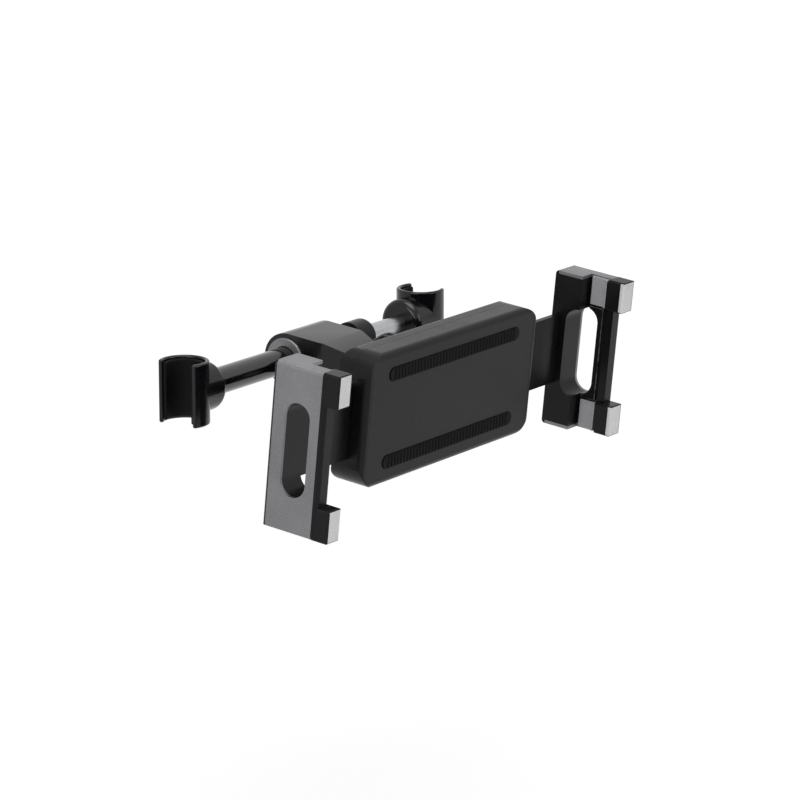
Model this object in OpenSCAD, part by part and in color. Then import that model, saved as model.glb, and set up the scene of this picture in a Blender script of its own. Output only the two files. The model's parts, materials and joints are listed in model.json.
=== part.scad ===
// Headrest tablet mount: a sprung telescopic bar between two post clips, an arm
// with a ball joint, and a cradle whose two jaws slide on a rack and pinion.
// Millimetres. Origin at the centre of the left post clip, +X along the bar to
// the right clip, +Y towards the seat, +Z up the headrest posts.

/* [Post clips] */
// Distance between the two headrest posts, centre to centre
post_spacing = 141.4; // [130:0.2:170]
// Diameter of a headrest post
post_d = 12; // [10:0.5:14]
// Thickness of the rubber liner
liner_t = 1.3; // [1:0.1:2]
// Wall of the clip around the liner
clip_wall = 1.6; // [1.4:0.1:2.4]
// Height of a clip along its post
clip_h = 22.4; // [20:0.2:30]
// Opening angle of a clip's mouth, in degrees
mouth_angle = 130; // [110:1:150]
// Diameter of the round hub beside a clip
bell_d = 17.6; // [16:0.2:20]
// Reach of the round hub from the clip's centre
bell_reach = 13.7; // [12.6:0.1:18]

/* [Telescopic bar] */
// Outside diameter of the tube
tube_d = 9.5; // [9:0.1:12]
// Wall of the tube
tube_wall = 0.8; // [0.6:0.1:1.2]
// Diameter of the inner rod
rod_d = 6.4; // [5:0.1:7]
// Travel of the right clip towards the left one
bar_travel = 22; // [10:1:24]
// Length of the guide collar on the tube's end
guide_len = 9; // [7:0.5:12]
// Wire of the bar's compression spring
bar_wire = 0.8; // [0.5:0.1:1]
// Turns of the bar's compression spring
bar_turns = 14; // [8:1:20]

/* [Arm] */
// Diameter of the knuckle around the bar
knuckle_d = 19; // [17:0.5:24]
// Width of the arm at the knuckle
arm_w = 24.8; // [20:0.2:34]
// Thickness of the trim disc on each end of the knuckle
disc_t = 1; // [0.6:0.1:2]
// Diameter of a trim disc
disc_d = 15.8; // [14:0.2:16]
// Length of the arm from the bar's axis to its front face
arm_len = 25; // [22:0.5:28]
// Width of the arm's front face
nose_w = 17; // [14:0.5:22]
// Height of the arm's front face
nose_h = 14; // [11:0.5:17]
// Forward lean of the arm and cradle, in degrees
lean = 5.85; // [0:0.05:12]

/* [Ball joint] */
// Diameter of the ball's neck
neck_d = 5; // [4:0.5:5.5]
// Thickness of the seat around the ball
seat_t = 1.4; // [1:0.1:1.6]
// Thickness of the tension ring around the seat
ring_t = 1; // [0.8:0.1:1.2]
// Outside diameter of the lock ring
lock_d = 31; // [30.6:0.2:33]
// Wall of the lock ring
lock_wall = 2.9; // [2.5:0.1:3.5]
// Wall of the cradle's collar inside the lock ring
collar_wall = 1.9; // [1.6:0.1:2.2]
// Grip grooves round the lock ring
lock_grooves = 24; // [12:1:36]

/* [Cradle] */
// Distance from the bar's axis to the tablet's front face
reach = 70.5; // [70.5:0.1:76]
// Drop of the cradle's centre below the arm
drop = 0.6; // [0:0.1:3]
// Width of the housing
housing_w = 104; // [102:1:110]
// Height of the housing
housing_h = 48; // [47:0.5:54]
// Thickness of the tablet with its clearance
tablet_t = 6.3; // [5:0.1:6.4]
// Width of the tablet shown
tablet_w = 169.5; // [168:0.5:172]
// Travel of each jaw, inwards and outwards
jaw_travel = 15; // [8:1:15]
// Thickness of a rack plate
rack_t = 2; // [1.6:0.1:2]
// Wall and spring channel of the housing above and below the racks
rack_margin = 11; // [10.5:0.1:12]
// Teeth of the pinion
pinion_teeth = 12; // [10:1:12]
// Tooth module of the rack and pinion
tooth_module = 1; // [0.8:0.05:1]

/* [Jaws] */
// Height of a jaw between its hooks' outer faces
jaw_h = 58.6; // [56:0.2:70]
// Distance from the tablet's edge to a jaw's outer face
jaw_t = 6.25; // [6:0.05:8]
// Reach of a jaw's side plate in front of the tablet
jaw_front = 3.5; // [3:0.1:5]
// Reach of a jaw's side plate behind the tablet's front face
jaw_back = 18.7; // [18.5:0.1:20]
// Thickness of the metal side cover
cover_t = 1.2; // [1:0.1:1.5]
// Width of the long slot
slot_w = 10.3; // [8:0.1:10.4]
// Length of the long slot
slot_len = 33; // [24:1:36]
// Height of a hook
hook_h = 11.6; // [8:0.1:14]
// Reach of a hook in front of the tablet
hook_front = 8.2; // [7:0.1:10]
// Overlap of a hook over the tablet's edge
hook_lip = 1.1; // [0.6:0.1:2]
// Depth of the pad in a hook's front
hook_pad_t = 1.6; // [0.8:0.1:2]
// Width of the black rim in front of the metal cover
rim_front = 2; // [1.5:0.1:3]
// Width of the black rim behind the metal cover
rim_back = 1.3; // [1:0.1:2]
// Rounding of a jaw's outer edges
jaw_soft = 1.4; // [0.8:0.1:2]

/* [Hidden] */
$fn = 64;

BLACK = [0.07, 0.07, 0.075];
GLOSS = [0.10, 0.10, 0.105];
RUBBER = [0.04, 0.04, 0.04];
GUNMETAL = [0.47, 0.47, 0.48];
STEEL = [0.72, 0.72, 0.73];
NYLON = [0.82, 0.81, 0.76];
PAD_GREY = [0.72, 0.72, 0.72];

eps = 0.1;               // overcut of a cutting tool
run = 0.05;              // radial clearance of a running fit
gap = 0.2;               // clearance between spherical shells and sliding plates
hold = 0.02;             // play of pieces that are fixed to one another
post_r = post_d / 2;
liner_r = post_r + liner_t;
clip_r = liner_r + clip_wall;
mouth_half = mouth_angle / 2;
tube_r = tube_d / 2;
bore_r = tube_r - tube_wall;
rod_r = rod_d / 2;
bell_r = bell_d / 2;
bell_edge = 2.6;         // rounding of the bell's shoulder
web_t = 0.5;             // clip's web before the tube
tube_x0 = clip_r + web_t;
spigot_len = 10;         // part of the left clip inside the tube
spigot_x1 = bell_reach + spigot_len;
right_x = post_spacing;
rod_x1 = right_x - tube_x0;
stop_gap = 0.6;          // left between guide and right hub when pushed in
guide_x1 = right_x - bell_reach - bar_travel - stop_gap;
guide_cap = 3;           // guide's wall past the tube's end
guide_wall = 1.6;
tube_x1 = guide_x1 - guide_cap;
guide_spigot = 7;        // part of the guide inside the tube
piston_x1 = tube_x1 - guide_spigot - 0.1;
piston_len = 8;
piston_floor = 3;
piston_x0 = piston_x1 - piston_len;
groove_w = 1;
groove_d = 0.4;
grub_r = 1.5;
grub_x = bell_reach - bell_edge - web_t;
key_r = 0.8;             // hexagon of a grub screw
key_depth = 1.2;

hub_x = post_spacing / 2;
knuckle_r = knuckle_d / 2;
sleeve_t = 0.85;
sleeve_r = tube_r + run + sleeve_t;
hub_bore = sleeve_r + run;
set_screw_r = 2;         // screw under the knuckle
set_key_r = 1.1;
set_key_depth = 1.7;
lock_r = lock_d / 2;
lock_r0 = lock_r - lock_wall;
collar_r = lock_r0 - gap;
socket_r = collar_r - collar_wall;
ring_r1 = socket_r - gap;
ring_r0 = ring_r1 - ring_t;
seat_r1 = ring_r0 - gap;
seat_r0 = seat_r1 - seat_t;
ball_r = seat_r0 - gap;
neck_r = neck_d / 2;
neck_nut = 1.4;          // hexagon round the neck
neck_in = 8.8;           // neck inside the arm
mouth_cone = 52;         // half angle of the shells' openings
lock_front = ball_r + 1.5;
lock_soft = 1.2;         // rounding of the lock ring
collar_over = 2.6;       // collar's end past the ball's centre
groove_r = 1.5;
groove_out = 0.9;        // groove's axis outside the lock ring

tablet_b = tablet_t;     // tablet's back in the cradle's frame
pad_t = 0.7;
pad_w = 5;
pad_groove = 0.5;        // depth of a rest pad's groove
pad_u = housing_h * 0.33;
front_b = tablet_b + pad_t;
rack_cover = 5.7;        // jaw's back wall and the front rack
rack_b0 = jaw_back - rack_cover;
slide_gap = 0.15;
split_b = rack_b0 + rack_t + gap / 2;
rack_b1 = rack_b0 + rack_t + gap;
cavity_b0 = rack_b0 - slide_gap;
cavity_b1 = rack_b1 + rack_t + slide_gap;
back_wall = 3.4;
back_b = cavity_b1 + back_wall;
socket_sink = 2;         // ball socket's floor in the back wall
ball_b = back_b + socket_r - socket_sink;
ball_y = -reach + ball_b;
pitch_r = pinion_teeth * tooth_module / 2;
pinion_pin_r = 2;
tooth_pitch = PI * tooth_module;
window_end = 1.6;        // window past the pinion at full travel
window_x = jaw_travel + pitch_r + window_end;
rack_teeth = 2 * floor(window_x / tooth_pitch);
rack_end = 5.4;
rack_in = window_x + rack_end;
rack_h = housing_h - 2 * rack_margin;
housing_r = 10;
housing_soft = 2.4;
wall_x = 1.8;
channel_wall = 1.2;
channel_h = 4.6;
channel_u0 = rack_h / 2 + channel_wall;
channel_u1 = channel_u0 + channel_h;
spring_u = (channel_u0 + channel_u1) / 2;
spring_b = (cavity_b0 + cavity_b1) / 2;
spring_r = 1.8;
spring_wire = 0.5;
spring_turns = 30;
tab_w = 3;
tab_in = 2;              // spring tab past the window's end
tab_x1 = -rack_in - tab_in;
tab_x0 = tab_x1 - tab_w;
anchor_x = housing_w / 2 - 6;
cover_screw_in = 13;     // housing screws from its ends
cover_screw_up = 2.6;    // and from its long edges
screw_r = 1.1;
screw_core = 0.85;
head_r = 2;
head_t = 1.3;
head_sink = 1.8;
screw_bite = 3.5;        // thread in the front cover
cross_w = 0.5;
cross_l = 2.4;
cross_d = 0.7;

jaw_in = tablet_w / 2;
jaw_out = jaw_in + jaw_t;
edge_pad_t = 1;
body_in = jaw_in + edge_pad_t;
body_out = jaw_out - cover_t;
block_over = 5.3;        // jaw's block behind the tablet
block_in = jaw_in - block_over;
block_b = front_b + gap;
jaw_u = jaw_h / 2;
cover_b0 = rim_front - jaw_front;
cover_b1 = jaw_back - rim_back;
cover_u = jaw_u - cover_t;
hook_u1 = jaw_u;
hook_u0 = hook_u1 - hook_h;
hook_in = jaw_in - hook_lip;
hook_out = jaw_out - 0.3;
hook_soft = 0.7;
pad_rim = 0.7;           // black rim outside a hook pad
pad_rim_u = 0.4;
trim_t = 0.7;            // trim on the back of a hook's lip
trim_b = -0.1;           // its face, against the tablet
pad_b1 = tablet_b - 0.1;
slot_edge = 2.3;
slot_b = slot_edge + slot_w / 2;
screw_x = jaw_in - 0.75;
screw_u = rack_h / 2 - 4.5;
jaw_head_r = 2.2;
jaw_head_t = 1.2;
rack_x0 = 1.8 - body_out;

module at_hub() { translate([hub_x, 0, 0]) rotate([lean, 0, 0]) children(); }
module in_cradle() { at_hub() translate([0, -reach, -drop]) children(); }
module at_ball() { at_hub() translate([0, ball_y, 0]) children(); }
module along_x() { rotate([0, 90, 0]) children(); }
module along_y() { rotate([-90, 0, 0]) children(); }

// Flat shape with round corners, centred
module rounded_rect(a, b, r) {
    square([a - 2 * r, b], center = true);
    square([a, b - 2 * r], center = true);
    for (i = [-1, 1], j = [-1, 1])
        translate([i * (a / 2 - r), j * (b / 2 - r)]) circle(r, $fn = 48);
}

// Box whose outline in x and z has corners r and whose other edges have corners s
module soft_box(size, r, s) {
    intersection() {
        translate([0, size[1] / 2, 0]) rotate([90, 0, 0])
            linear_extrude(size[1]) rounded_rect(size[0], size[2], r);
        translate([-size[0] / 2, 0, 0]) rotate([90, 0, 90])
            linear_extrude(size[0]) rounded_rect(size[1], size[2], s);
        translate([0, 0, -size[2] / 2]) linear_extrude(size[2]) rounded_rect(size[0], size[1], s);
    }
}

// Coil spring along +X as one swept wire
module coil(r, wire_r, turns, len, sides = 6, steps = 10) {
    n = turns * steps;
    points = [for (i = [0:n], k = [0:sides - 1])
        let (a = 360 * i / steps, c = 360 * k / sides, q = r + wire_r * cos(c))
        [wire_r + (len - 2 * wire_r) * i / n + wire_r * sin(c), q * cos(a), q * sin(a)]];
    sides_faces = [for (i = [0:n - 1], k = [0:sides - 1])
        let (k2 = (k + 1) % sides) [i * sides + k, i * sides + k2, (i + 1) * sides + k2, (i + 1) * sides + k]];
    ends = [[for (k = [0:sides - 1]) sides - 1 - k], [for (k = [0:sides - 1]) n * sides + k]];
    polyhedron(points, concat(sides_faces, ends), convexity = 10);
}

// Open ring with round-edged walls, mouth towards -X
module open_ring(r0, r1, h, edge) {
    t = r1 - r0;
    rotate([0, 0, -180 + mouth_half])
        rotate_extrude(angle = 360 - mouth_angle, $fn = 96)
            translate([(r0 + r1) / 2, 0]) rounded_rect(t, h, edge);
    for (s = [-1, 1])
        rotate([0, 0, 180 + s * mouth_half]) translate([(r0 + r1) / 2, 0, 0])
            rotate_extrude() intersection() {
                rounded_rect(t, h, edge);
                translate([0, -h / 2]) square([t, h]);
            }
}

// Clip shell with its round hub; bore_r2 is the socket for the tube or the rod
module post_clip(socket_r2, spigot_r) {
    difference() {
        union() {
            open_ring(liner_r, clip_r, clip_h, clip_wall / 2 - 0.1);
            difference() {
                along_x() rotate_extrude($fn = 96) {
                    square([bell_r - bell_edge, bell_reach]);
                    square([bell_r, bell_reach - bell_edge]);
                    translate([bell_r - bell_edge, bell_reach - bell_edge]) circle(bell_edge);
                }
                cylinder(r = liner_r, h = clip_h + 2, center = true);
            }
        }
        difference() {
            translate([tube_x0, 0, 0]) along_x() cylinder(r = socket_r2 + run, h = bell_reach);
            if (spigot_r > 0) translate([0, 0, 0]) along_x() cylinder(r = spigot_r, h = 2 * bell_reach);
        }
        translate([grub_x, 0, 0]) along_y() cylinder(r = grub_r + run, h = bell_r + 2);
    }
    if (spigot_r > 0)
        translate([clip_r, 0, 0]) along_x() cylinder(r = spigot_r, h = spigot_x1 - clip_r);
}

module clip_liner() { open_ring(post_r, liner_r - hold, clip_h - 2, liner_t / 2 - 0.1); }

module grub_screw(tip_r) {
    len = bell_r - tip_r - 0.4;
    translate([grub_x, tip_r, 0]) along_y() difference() {
        cylinder(r = grub_r, h = len);
        translate([0, 0, len - key_depth]) cylinder(r = key_r, h = key_depth + 1, $fn = 6);
    }
}

module on_right() { translate([right_x, 0, 0]) mirror([1, 0, 0]) children(); }

module left_clip() color(GLOSS) post_clip(tube_r, bore_r - run);
module left_clip_liner() color(RUBBER) clip_liner();
module left_grub_screw() color(STEEL) grub_screw(tube_r + 0.1);
module right_clip() color(GLOSS) on_right() post_clip(rod_r, 0);
module right_clip_liner() color(RUBBER) on_right() clip_liner();
module right_grub_screw() color(STEEL) on_right() grub_screw(rod_r + 0.1);

module outer_tube() color(GLOSS) translate([tube_x0, 0, 0]) along_x()
    difference() {
        cylinder(r = tube_r, h = tube_x1 - tube_x0);
        translate([0, 0, -eps]) cylinder(r = bore_r, h = tube_x1);
    }

module rod_guide() color(BLACK) difference() {
    translate([guide_x1 - guide_len, 0, 0]) along_x() rotate_extrude() {
        square([tube_r + guide_wall, guide_len - 1]);
        square([tube_r + guide_wall - 1, guide_len]);
        translate([tube_r + guide_wall - 1, guide_len - 1]) circle(1);
    }
    difference() {
        translate([guide_x1 - guide_len - eps, 0, 0]) along_x()
            cylinder(r = tube_r + run, h = guide_len - guide_cap + eps);
        translate([tube_x1 - guide_spigot, 0, 0]) along_x() cylinder(r = bore_r - run, h = guide_spigot + 1);
    }
    translate([tube_x1 - guide_spigot - 1, 0, 0]) along_x() cylinder(r = rod_r + run, h = 2 * guide_len);
}

module bar_spring() color(STEEL) translate([spigot_x1 + 0.2, 0, 0])
    coil(bore_r - 0.5 - bar_wire / 2, bar_wire / 2, bar_turns, piston_x0 - spigot_x1 - 2 * gap);

module inner_rod() color(STEEL) translate([piston_x0 + piston_floor, 0, 0]) along_x()
    cylinder(r = rod_r, h = rod_x1 - piston_x0 - piston_floor);

module rod_piston() color(NYLON) translate([piston_x0, 0, 0]) along_x() difference() {
    cylinder(r = bore_r - run, h = piston_len);
    translate([0, 0, piston_floor]) cylinder(r = rod_r + hold, h = piston_len);
    for (share = [0.15, 0.68]) translate([0, 0, share * piston_len]) difference() {
        cylinder(r = tube_r, h = groove_w);
        translate([0, 0, -eps]) cylinder(r = bore_r - groove_d, h = groove_w + 2 * eps);
    }
}

// Arm: side profile and plan profile, crossed
module arm_side() {
    circle(knuckle_r, $fn = 96);
    polygon([[0, knuckle_r], [-arm_len * 0.6, knuckle_r], [-arm_len, nose_h / 2],
        [-arm_len, -nose_h / 2], [-arm_len * 0.5, -knuckle_r + 0.6], [0, -knuckle_r]]);
}

module arm_plan() {
    polygon([[-arm_w / 2, knuckle_r + 1], [arm_w / 2, knuckle_r + 1], [arm_w / 2, -arm_len * 0.55],
        [nose_w / 2, -arm_len - 1], [-nose_w / 2, -arm_len - 1], [-arm_w / 2, -arm_len * 0.55]]);
}

module arm_body() color(BLACK) at_hub() difference() {
    intersection() {
        translate([-arm_w / 2, 0, 0]) rotate([90, 0, 90]) linear_extrude(arm_w) arm_side();
        translate([0, 0, -knuckle_r - 1]) linear_extrude(2 * knuckle_r + 2) arm_plan();
    }
    translate([-arm_w, 0, 0]) along_x() cylinder(r = hub_bore, h = 2 * arm_w);
    translate([0, -arm_len - eps, 0]) along_y() cylinder(r = neck_r + run, h = neck_in + gap + eps);
    translate([0, 0, -knuckle_r - 1]) cylinder(r = set_screw_r + run, h = knuckle_r);
    for (s = [-1, 1]) translate([s * arm_w / 2, -arm_len * 0.62, -0.6]) along_x()
        translate([0, 0, -0.8]) linear_extrude(1.6) rotate(90) rounded_rect(9, 4.6, 2.2);
}

module hub_sleeve() color(NYLON) at_hub() translate([-arm_w / 2 + 0.3, 0, 0]) along_x() difference() {
    cylinder(r = sleeve_r, h = arm_w - 0.6);
    translate([0, 0, -eps]) cylinder(r = tube_r + run, h = arm_w);
}

module hub_disc() difference() {
    along_x() rotate_extrude($fn = 96) {
        square([disc_d / 2 - 0.5, disc_t]);
        square([disc_d / 2, disc_t - 0.5]);
        translate([disc_d / 2 - 0.5, disc_t - 0.5]) circle(0.5);
    }
    translate([-eps, 0, 0]) along_x() cylinder(r = tube_r + 0.15, h = disc_t + 1);
}

module left_hub_disc() color(GUNMETAL) at_hub() mirror([1, 0, 0]) translate([arm_w / 2, 0, 0]) hub_disc();
module right_hub_disc() color(GUNMETAL) at_hub() translate([arm_w / 2, 0, 0]) hub_disc();

module hub_set_screw() color(STEEL) at_hub() translate([0, 0, -knuckle_r + 0.3]) difference() {
    cylinder(r = set_screw_r, h = knuckle_r - sleeve_r - 0.4);
    translate([0, 0, -eps]) cylinder(r = set_key_r, h = set_key_depth + eps, $fn = 6);
}

module ball_stud() color(STEEL) at_ball() {
    sphere(ball_r, $fn = 96);
    along_y() cylinder(r = neck_r, h = neck_in - arm_len - ball_y);
    translate([0, -arm_len - ball_y - 2, 0]) along_y() cylinder(r = neck_r + neck_nut, h = 2, $fn = 6);
}

// Spherical shell open towards the arm
module cup(r0, r1, cone, floor_cone) {
    along_y() rotate_extrude($fn = 96) difference() {
        circle(r1);
        circle(r0);
        translate([-2 * r1, -r1 - 1]) square([2 * r1, 2 * r1 + 2]);
        polygon([[0, 0], [2 * r1 * sin(cone), 2 * r1 * cos(cone)], [0, 3 * r1]]);
        polygon([[0, 0], [2 * r1 * sin(floor_cone), -2 * r1 * cos(floor_cone)], [0, -3 * r1]]);
    }
}

module ball_seat() color(NYLON) at_ball() cup(seat_r0, seat_r1, mouth_cone, 25);
module tension_ring() color(STEEL) at_ball() cup(ring_r0, ring_r1, mouth_cone, 40);

module lock_ring() color(BLACK) at_ball() difference() {
    translate([0, -ball_b + back_b + gap, 0]) along_y() rotate_extrude($fn = 96) {
        lock_len = ball_b - back_b - gap + lock_front;
        square([lock_r - lock_soft, lock_len]);
        translate([0, lock_soft]) square([lock_r, lock_len - 2 * lock_soft]);
        for (z = [lock_soft, lock_len - lock_soft]) translate([lock_r - lock_soft, z]) circle(lock_soft, $fn = 32);
    }
    translate([0, -ball_b + back_b - 1, 0]) along_y() cylinder(r = lock_r0, h = ball_b - back_b + 1 + collar_over);
    sphere(socket_r, $fn = 96);
    along_y() cylinder(r1 = 0, r2 = 3 * ball_r * tan(mouth_cone - 5), h = 3 * ball_r);
    for (i = [0:lock_grooves - 1]) rotate([0, i * 360 / lock_grooves, 0])
        translate([lock_r + groove_out, -ball_b + back_b + 2, 0]) along_y()
            cylinder(r = groove_r, h = ball_b - back_b + lock_front - 4, $fn = 24);
}

module housing_form() {
    translate([0, (front_b + back_b) / 2, 0])
        soft_box([housing_w, back_b - front_b, housing_h], housing_r, housing_soft);
}

// Room for the racks and springs, cut from both covers
module slide_room(b0, b1, x0, x1, low) {
    translate([x0, b0, -rack_h / 2 - gap]) cube([x1 - x0, b1 - b0, rack_h + 2 * gap]);
    for (s = [-1, 1]) {
        c0 = s > 0 ? -housing_w / 2 + wall_x : -anchor_x;
        translate([c0, b0, s > 0 ? channel_u0 : -channel_u1])
            cube([anchor_x + housing_w / 2 - wall_x, b1 - b0, channel_u1 - channel_u0]);
    }
    t0 = low ? -tab_x1 - jaw_travel - 0.5 : tab_x0 - jaw_travel - 0.5;
    translate([t0, b0, low ? -channel_u0 - eps : rack_h / 2])
        cube([tab_x1 - tab_x0 + 2 * jaw_travel + 1, b1 - b0, channel_u0 - rack_h / 2 + eps]);
}

module cover_screw_places() {
    for (i = [-1, 1], j = [-1, 1])
        translate([i * (housing_w / 2 - cover_screw_in), back_b, j * (housing_h / 2 - cover_screw_up)]) children();
}

module front_cover() color(BLACK) in_cradle() {
    difference() {
        intersection() {
            housing_form();
            translate([-housing_w, front_b - 1, -housing_h]) cube([2 * housing_w, split_b - front_b + 1, 2 * housing_h]);
        }
        slide_room(cavity_b0, split_b + eps, -housing_w, housing_w / 2 - wall_x, false);
        for (s = [-1, 1]) translate([0, front_b - 1, s * pad_u]) rotate([-90, 0, 0])
            linear_extrude(1 + pad_groove) rounded_rect(housing_w * 0.76, pad_w, pad_w / 2 - 0.1);
        cover_screw_places() along_y() translate([0, 0, split_b - back_b - screw_bite - gap])
            cylinder(r = screw_core + run, h = screw_bite + 1);
    }
    translate([0, cavity_b0 - 0.5, 0]) along_y() cylinder(r = pinion_pin_r, h = cavity_b1 - cavity_b0 + 0.4);
}

module back_cover() color(BLACK) in_cradle() difference() {
    union() {
        intersection() {
            housing_form();
            translate([-housing_w, split_b, -housing_h]) cube([2 * housing_w, back_b, 2 * housing_h]);
        }
        translate([0, back_b - 1, drop]) along_y() cylinder(r = collar_r, h = ball_b - back_b + collar_over + 0.8);
    }
    slide_room(split_b - eps, cavity_b1, -housing_w / 2 + wall_x, housing_w, true);
    translate([0, ball_b, drop]) sphere(socket_r, $fn = 96);
    translate([0, ball_b, drop]) along_y() cylinder(r = socket_r, h = ball_r + collar_over);
    cover_screw_places() along_y() {
        translate([0, 0, -back_b]) cylinder(r = screw_r + run, h = back_b + 1);
        translate([0, 0, -head_sink]) cylinder(r = head_r + 2 * run, h = head_sink + 1);
    }
}

module cover_screws() color(STEEL) in_cradle() cover_screw_places() along_y() difference() {
    union() {
        translate([0, 0, split_b - back_b + run]) cylinder(r = screw_r, h = back_b - split_b - head_sink);
        translate([0, 0, run - head_sink]) cylinder(r = head_r, h = head_t);
        translate([0, 0, split_b - back_b - screw_bite]) cylinder(r = screw_core, h = screw_bite + 1);
    }
    for (a = [0, 90]) rotate([0, 0, a]) translate([0, 0, run - head_sink + head_t])
        cube([cross_l, cross_w, 2 * cross_d], center = true);
}

module rest_pads() color(RUBBER) in_cradle() for (s = [-1, 1])
    translate([0, tablet_b, s * pad_u]) rotate([-90, 0, 0])
        linear_extrude(pad_t + pad_groove) rounded_rect(housing_w * 0.76 - gap, pad_w - gap, pad_w / 2 - gap);

// Involute flank of the pinion at radius r, as the angle off the tooth's centre
function inv(a) = tan(a) * 180 / PI - a;
function flank(r, base) = inv(acos(min(1, base / r)));

module pinion() color(NYLON) in_cradle() {
    base = pitch_r * cos(20);
    tip_r = pitch_r + 0.9 * tooth_module;
    root_r = pitch_r - 1.2 * tooth_module;
    half = 82 / pinion_teeth + flank(pitch_r, base);
    radii = [for (k = [0:4]) max(root_r + 0.3, base) + k * (tip_r - max(root_r + 0.3, base)) / 4];
    translate([0, cavity_b0 + 0.1, 0]) rotate([-90, 0, 0]) linear_extrude(cavity_b1 - cavity_b0 - 0.2) difference() {
        union() {
            circle(root_r);
            for (i = [0:pinion_teeth - 1]) rotate(i * 360 / pinion_teeth + 90)
                polygon(concat([[0, -1]], [for (r = radii) let (a = -half + flank(r, base)) [r * cos(a), r * sin(a)]],
                    [for (k = [4:-1:0]) let (r = radii[k], a = half - flank(r, base)) [r * cos(a), r * sin(a)]], [[0, 1]]));
        }
        circle(pinion_pin_r + run);
    }
}

// Rack plate of the left jaw, teeth along the top of its window
module rack_plate(b0) {
    root = pitch_r + 1.25 * tooth_module;
    tip = pitch_r - 0.8 * tooth_module;
    foot = tooth_pitch * 0.23 + (root - pitch_r) * tan(20);
    crest = tooth_pitch * 0.23 - (pitch_r - tip) * tan(20);
    translate([0, b0 + rack_t, 0]) rotate([90, 0, 0]) linear_extrude(rack_t) {
        difference() {
            union() {
                translate([rack_x0, -rack_h / 2]) square([rack_in - rack_x0, rack_h]);
                translate([tab_x0, rack_h / 2 - 1]) square([tab_x1 - tab_x0, channel_u1 - rack_h / 2 + 0.7]);
            }
            translate([-window_x, -pitch_r - tooth_module * 1.5]) square([2 * window_x, pitch_r + tooth_module * 1.5 + root]);
            for (j = [-1, 1]) translate([-screw_x, j * screw_u]) circle(1.1, $fn = 32);
        }
        for (i = [0:rack_teeth - 1]) translate([(i - (rack_teeth - 1) / 2) * tooth_pitch, 0])
            polygon([[-foot, root + 0.5], [-foot, root], [-crest, tip], [crest, tip], [foot, root], [foot, root + 0.5]]);
    }
}

module pull_spring() translate([tab_x1 + 0.2, spring_b, spring_u])
    coil(spring_r - spring_wire / 2, spring_wire / 2, spring_turns, anchor_x - tab_x1 - 0.4, 4, 8);

module left_spring() color(STEEL) in_cradle() pull_spring();
module right_spring() color(STEEL) in_cradle() rotate([0, 180, 0]) pull_spring();
module left_rack() color(BLACK) in_cradle() rack_plate(rack_b0);
module right_rack() color(BLACK) in_cradle() rotate([0, 180, 0]) rack_plate(rack_b1);

// Jaw pieces are written for the left jaw
module jaw_slot(x0, x1) {
    translate([x0, slot_b, 0]) rotate([90, 0, 90]) linear_extrude(x1 - x0) {
        square([slot_w, slot_len - slot_w], center = true);
        for (s = [-1, 1]) translate([0, s * (slot_len - slot_w) / 2]) circle(slot_w / 2);
    }
}

module side_shape(x0, x1, b0, b1, u, r) {
    translate([x0, (b0 + b1) / 2, 0]) rotate([90, 0, 90]) linear_extrude(x1 - x0) rounded_rect(b1 - b0, 2 * u, r);
}

// Jaw's outer form, a block with soft edges that is cut flat towards the tablet
module jaw_form(grow = 0) {
    x1 = -block_in;
    difference() {
        translate([(x1 + 2 - jaw_out) / 2, (jaw_back - jaw_front) / 2, 0])
            soft_box([jaw_out + x1 + 2 + 2 * grow, jaw_back + jaw_front + 2 * grow, jaw_h + 2 * grow], jaw_soft, jaw_soft);
        translate([x1, -jaw_back, -jaw_h]) cube([10, 3 * jaw_back, 2 * jaw_h]);
        translate([-body_in, -jaw_back, -jaw_h]) cube([jaw_in, jaw_back + block_b, 2 * jaw_h]);
    }
}

// Space of the metal cover: outer side, top and bottom, grown by play on all faces but the outer
module cover_space(play) difference() {
    translate([-jaw_out - 1, cover_b0 - play, -jaw_h]) cube([jaw_out, cover_b1 - cover_b0 + 2 * play, 2 * jaw_h]);
    translate([play - body_out, cover_b0 - 1, play - cover_u])
        cube([jaw_out, cover_b1 - cover_b0 + 2, 2 * (cover_u - play)]);
}

module jaw_cover() difference() {
    intersection() {
        jaw_form();
        cover_space(0);
    }
    jaw_slot(-jaw_out - 1, 0);
}

// Hook of the jaw, upper one for s = 1
module hook_form(s) translate([-(hook_out + hook_in) / 2, (1 - hook_front) / 2, s * (hook_u0 + hook_u1) / 2])
    soft_box([hook_out - hook_in, hook_front + 1, hook_h], hook_soft, hook_soft);

module pad_space(s, play) translate([-hook_out + pad_rim - play, -hook_front - 1, s * (hook_u0 + hook_u1) / 2 - hook_h / 2 + pad_rim_u - play])
    cube([hook_out, 1 + hook_pad_t + play, hook_h - 2 * pad_rim_u + 2 * play]);

module hook_pads() for (s = [-1, 1]) intersection() {
    hook_form(s);
    pad_space(s, 0);
}

// L-shaped lining of a hook: behind its lip and along the tablet's edge
module lip_trim() for (s = [-1, 1]) translate([0, 0, s * (hook_u0 + hook_u1) / 2]) {
    h = hook_h - 1;
    translate([-body_in, trim_b - trim_t, -h / 2]) cube([body_in - hook_in, trim_t, h]);
    translate([-body_in, trim_b - trim_t, -h / 2]) cube([edge_pad_t, trim_t + pad_b1 - trim_b, h]);
}

module edge_pad() difference() {
    translate([-body_in, trim_b + 0.4, -hook_u0 + gap]) cube([edge_pad_t, pad_b1 - trim_b - 0.4, 2 * (hook_u0 - gap)]);
    jaw_slot(-jaw_out - 1, 0);
}

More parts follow.
